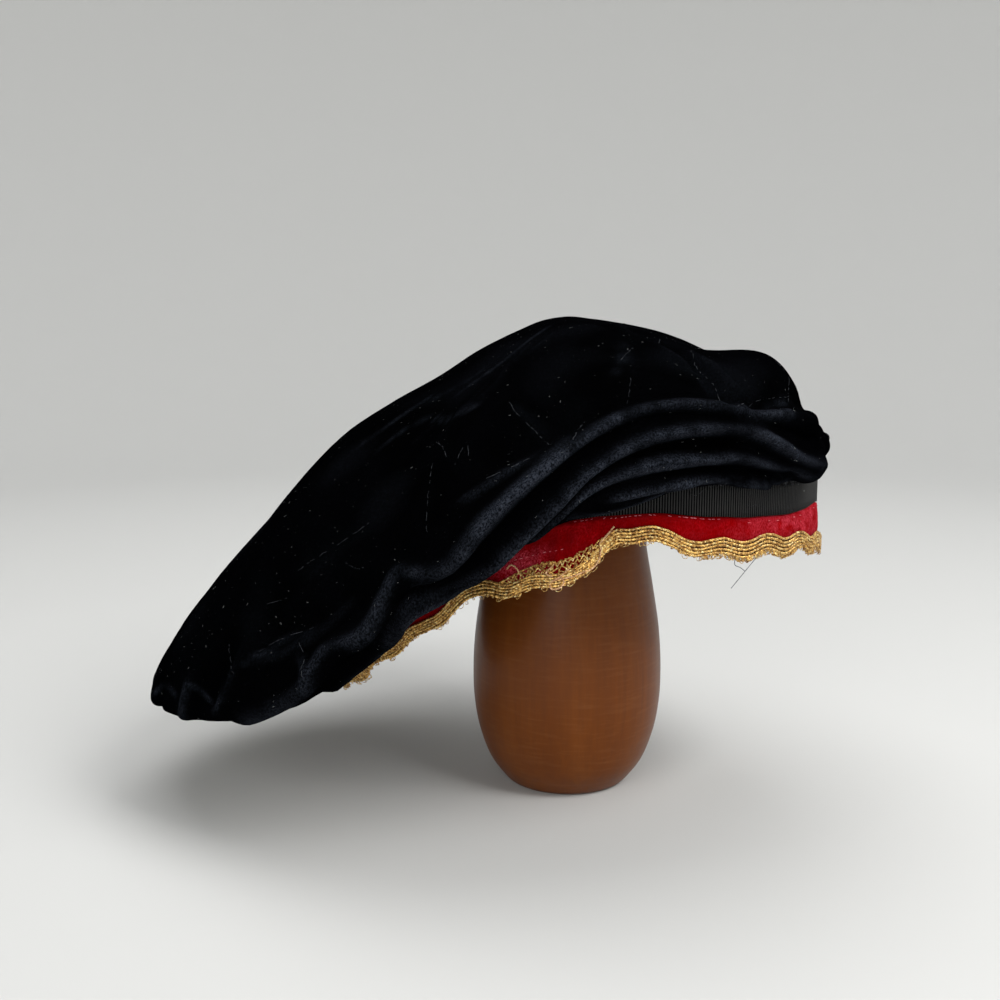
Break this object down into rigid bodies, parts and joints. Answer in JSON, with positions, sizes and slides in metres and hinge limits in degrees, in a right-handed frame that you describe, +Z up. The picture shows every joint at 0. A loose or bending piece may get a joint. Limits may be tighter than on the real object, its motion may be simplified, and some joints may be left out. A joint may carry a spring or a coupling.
{
  "type": "velvet hat on a turned wooden stand",
  "caption": "Soft gathered velvet cap with a ribbon, a velvet band and a wavy metallic braid, drooping over a plain turned wooden stand.",
  "frame": {"origin": "centre of the stand's flat foot", "axes": "+Z up along the stand, +X towards the cap's high end, -X towards its hanging end, -Y towards the viewer"},
  "size_m": [0.268, 0.227, 0.1875],
  "materials": {
    "black_velvet": "soft cut pile",
    "grosgrain": "ribbed weave",
    "red_velvet": "soft cut pile",
    "gold_braid": "metallic thread",
    "turned_wood": "satin varnish"
  },
  "bodies": {
    "root": {"crown": "black_velvet", "ribbon_band": "grosgrain", "red_band": "red_velvet", "gold_braid": "gold_braid", "stand": "turned_wood"}
  },
  "joints": []
}
